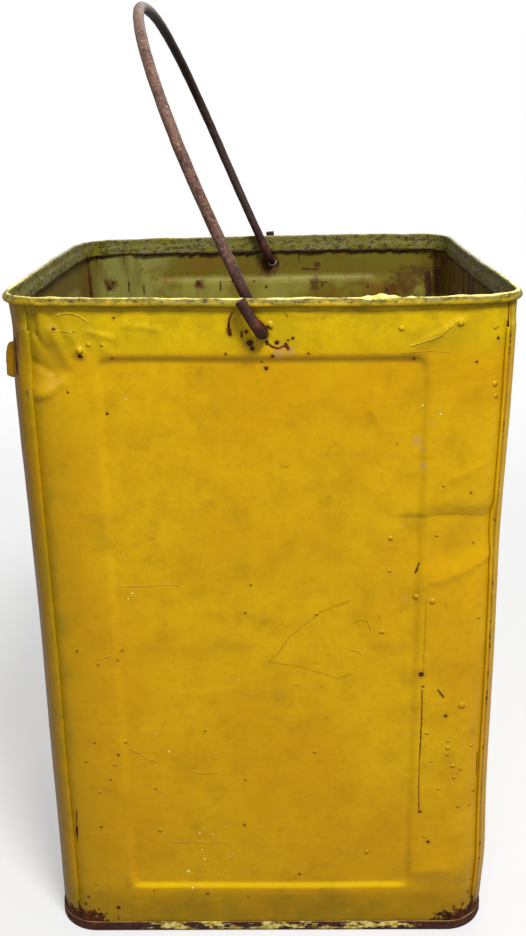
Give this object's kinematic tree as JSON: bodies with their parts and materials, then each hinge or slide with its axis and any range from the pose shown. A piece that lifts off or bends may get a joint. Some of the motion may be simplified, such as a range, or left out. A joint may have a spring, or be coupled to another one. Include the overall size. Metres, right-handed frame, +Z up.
{
  "type": "square tin bucket",
  "caption": "Dented, rusty square tin with a cut-out lid, used as a bucket: rounded vertical corners, lock seams, rolled rim and a leaning wire bail hooked through holes under the rim",
  "frame": {"origin": "on the floor, under the middle of the tin", "axes": "+Z up; -Y is the side nearest the camera in the picture, where one bail hook shows; +X is to the right in the picture"},
  "size_m": [0.2382, 0.2503, 0.4771],
  "materials": {
    "front_sheet": "old yellow enamel paint on tinplate, scratched and blistered with rust",
    "rear_sheet": "old yellow enamel paint outside, dull khaki lacquer inside, both rust-stained",
    "lid_rim": "worn cream paint over dull tinplate, ragged lower edge",
    "base_plate": "rusted tinplate with flakes of paint left on the seam",
    "bail": "rusted steel rod"
  },
  "bodies": {
    "tin": {"front_sheet": "front_sheet", "rear_sheet": "rear_sheet", "lid_rim": "lid_rim", "base_plate": "base_plate"},
    "handle": {"bail": "bail"}
  },
  "joints": [
    {"name": "bail_swing", "type": "hinge", "parent": "tin", "child": "handle", "pos_m": [0.0023, 0, 0.3315], "axis": [0.0146, 0.9999, 0], "range_deg": [-54, 101]}
  ]
}
